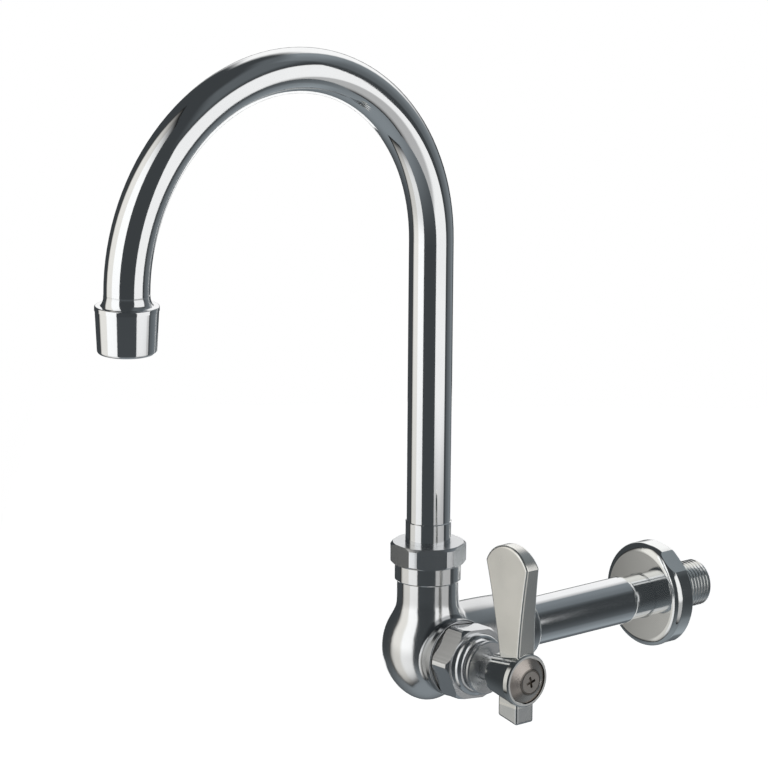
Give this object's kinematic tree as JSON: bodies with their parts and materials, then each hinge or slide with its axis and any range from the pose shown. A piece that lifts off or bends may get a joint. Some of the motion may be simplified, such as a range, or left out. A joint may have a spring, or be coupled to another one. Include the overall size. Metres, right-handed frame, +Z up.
{
  "type": "wall faucet",
  "caption": "Wall-mount faucet with a high swivelling gooseneck spout, aerator, quarter-turn side lever, horizontal shank and round wall flange with a threaded tail.",
  "frame": {"origin": "on the shank's axis, in the wall face of the wall flange", "axes": "+Y along the threaded tail, into the wall; +Z up, along the riser; +X out of the valve, towards the lever's hub"},
  "size_m": [0.094, 0.3395, 0.2957],
  "materials": {
    "polished_chrome": "polished chrome plate on brass",
    "satin_chrome": "chrome plate on a linished casting, slightly softened",
    "shank_chrome": "polished chrome plate on pipe",
    "lever_chrome": "polished chrome plate on a die casting",
    "button_metal": "satin, slightly warm",
    "screw_steel": "bright stainless steel",
    "stem_nickel": "turned brass, bright nickel plate",
    "black_rubber": "nitrile rubber",
    "white_nylon": "turned low-friction plastic",
    "aerator_plastic": "moulded acetal",
    "screen_steel": "stainless mesh",
    "ceramic": "lapped alumina"
  },
  "bodies": {
    "root": {"inlet_flange": "polished_chrome", "shank_tube": "shank_chrome", "shank_o_ring": "black_rubber", "shank_seal": "black_rubber", "valve_body": "satin_chrome", "spout_nut": "polished_chrome", "lower_swivel_washer": "white_nylon", "upper_swivel_washer": "white_nylon", "valve_bonnet": "satin_chrome", "bonnet_gasket": "black_rubber", "gland_nut": "polished_chrome", "stem_packing": "white_nylon", "seat_seal": "black_rubber", "fixed_ceramic_disc": "ceramic"},
    "spout": {"spout_tube": "polished_chrome", "spout_ferrule": "polished_chrome", "swivel_o_rings": "black_rubber", "outlet_thread_ring": "polished_chrome", "aerator_housing": "polished_chrome", "aerator_washer": "black_rubber", "aerator_insert": "aerator_plastic", "aerator_screen": "screen_steel"},
    "lever": {"valve_stem": "stem_nickel", "moving_ceramic_disc": "ceramic", "lever_handle": "lever_chrome", "index_button": "button_metal", "handle_screw": "screw_steel"}
  },
  "joints": [
    {"name": "spout_swivel", "type": "hinge", "parent": "root", "child": "spout", "pos_m": [0, -0.1375, 0.03], "axis": [0, 0, 1], "continuous": true},
    {"name": "lever_turn", "type": "hinge", "parent": "root", "child": "lever", "pos_m": [0, -0.1375, 0], "axis": [1, 0, 0], "range_deg": [0, 90]}
  ]
}
